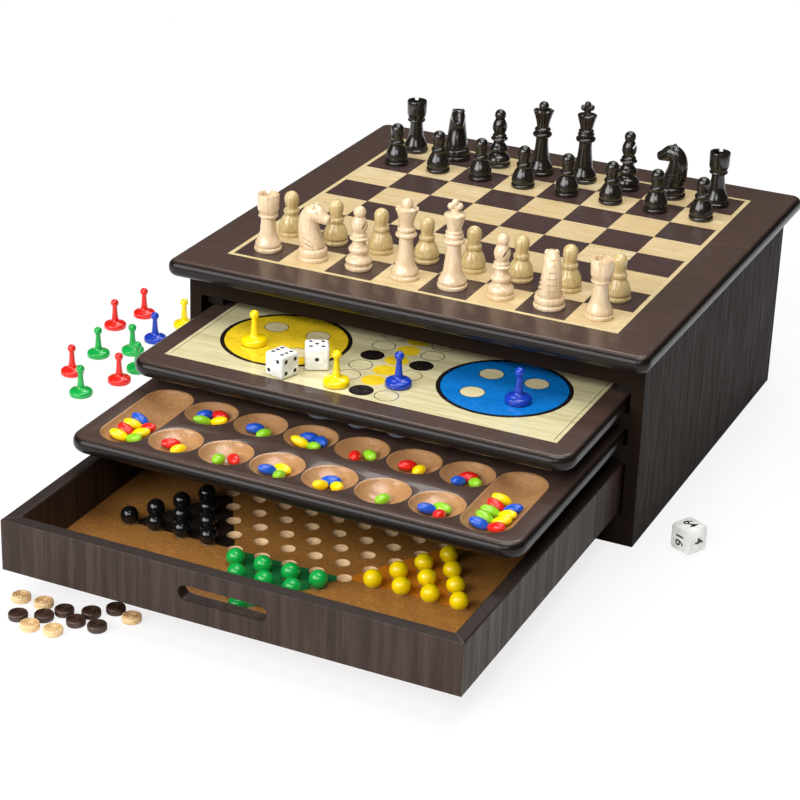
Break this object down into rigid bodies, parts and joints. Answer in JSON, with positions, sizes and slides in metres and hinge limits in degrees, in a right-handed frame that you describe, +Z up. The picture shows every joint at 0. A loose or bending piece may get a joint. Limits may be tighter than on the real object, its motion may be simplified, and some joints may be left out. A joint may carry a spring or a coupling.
{
  "type": "games compendium box",
  "caption": "Wooden games box with a chessboard top over a sliding ludo tray, a sliding mancala tray and a marble drawer, set out with its pieces.",
  "frame": {"origin": "centre of the cabinet's footprint, on the surface it stands on", "axes": "+Z up, front of the box towards -Y, +X to the right seen from the front"},
  "size_m": [0.5429, 0.6096, 0.209],
  "materials": {
    "black_bead": "gloss",
    "blue_bead": "gloss",
    "carcass_wood": "satin",
    "dark_veneer": "satin",
    "dark_wood": "gloss",
    "die_white": "satin",
    "drawer_wood": "satin",
    "ebony_wood": "gloss",
    "green_bead": "gloss",
    "grey_print": "satin",
    "ivory_wood": "gloss",
    "ludo_print": "gloss",
    "maple": "satin",
    "red_bead": "gloss",
    "star_print": "satin",
    "yellow_bead": "gloss"
  },
  "bodies": {
    "cabinet": {"apron_rail": "carcass_wood", "back_panel": "carcass_wood", "base_panel": "carcass_wood", "dark_squares": "dark_veneer", "drawer_runners": "carcass_wood", "light_squares": "maple", "ludo_runners": "carcass_wood", "mancala_runners": "carcass_wood", "plinth_rail": "carcass_wood", "side_panel_left": "carcass_wood", "side_panel_right": "carcass_wood", "stringing": "maple", "top_board": "dark_wood", "upper_guides": "carcass_wood"},
    "ludo_tray": {"ludo_board": "dark_wood", "ludo_sheet": "ludo_print"},
    "mancala_tray": {"mancala_board": "dark_wood", "noughts_spots": "grey_print", "stones_blue": "blue_bead", "stones_green": "green_bead", "stones_red": "red_bead", "stones_yellow": "yellow_bead"},
    "drawer": {"drawer_front": "drawer_wood", "drawer_back": "drawer_wood", "drawer_side_left": "drawer_wood", "drawer_side_right": "drawer_wood", "star_board": "star_print", "marbles_black": "black_bead", "marbles_green": "green_bead", "marbles_yellow": "yellow_bead"},
    "light_chessmen": {"light_bishops": "ivory_wood", "light_king": "ivory_wood", "light_knights": "ivory_wood", "light_pawns": "ivory_wood", "light_queen": "ivory_wood", "light_rooks": "ivory_wood"},
    "dark_chessmen": {"dark_bishops": "ebony_wood", "dark_king": "ebony_wood", "dark_knights": "ebony_wood", "dark_pawns": "ebony_wood", "dark_queen": "ebony_wood", "dark_rooks": "ebony_wood"},
    "ludo_pieces": {"ludo_pawns_yellow": "yellow_bead", "ludo_pawns_blue": "blue_bead", "dice": "die_white"},
    "spare_pieces": {"spare_pawn_blue": "blue_bead", "spare_pawn_yellow": "yellow_bead", "spare_pawns_green": "green_bead", "spare_pawns_red": "red_bead", "doubling_cube": "die_white"},
    "draughtsmen": {"draughtsmen_light": "ivory_wood", "draughtsmen_dark": "ebony_wood"}
  },
  "joints": [
    {"name": "ludo_tray_slide", "type": "slide", "parent": "cabinet", "child": "ludo_tray", "axis": [0, -1, 0], "range_m": [-0.0935, 0.1735]},
    {"name": "mancala_tray_slide", "type": "slide", "parent": "cabinet", "child": "mancala_tray", "axis": [0, -1, 0], "range_m": [-0.171, 0.096]},
    {"name": "drawer_slide", "type": "slide", "parent": "cabinet", "child": "drawer", "axis": [0, -1, 0], "range_m": [-0.246, 0.021]},
    {"name": "light_chessmen_lift", "type": "slide", "parent": "cabinet", "child": "light_chessmen", "axis": [0, 0, 1], "range_m": [0, 0.12]},
    {"name": "dark_chessmen_lift", "type": "slide", "parent": "cabinet", "child": "dark_chessmen", "axis": [0, 0, 1], "range_m": [0, 0.12]},
    {"name": "ludo_pieces_lift", "type": "slide", "parent": "cabinet", "child": "ludo_pieces", "axis": [0, 0, 1], "range_m": [0, 0.12]},
    {"name": "spare_pieces_lift", "type": "slide", "parent": "cabinet", "child": "spare_pieces", "axis": [0, 0, 1], "range_m": [0, 0.1]},
    {"name": "draughtsmen_push", "type": "slide", "parent": "cabinet", "child": "draughtsmen", "axis": [0, -1, 0], "range_m": [0, 0.1]}
  ]
}
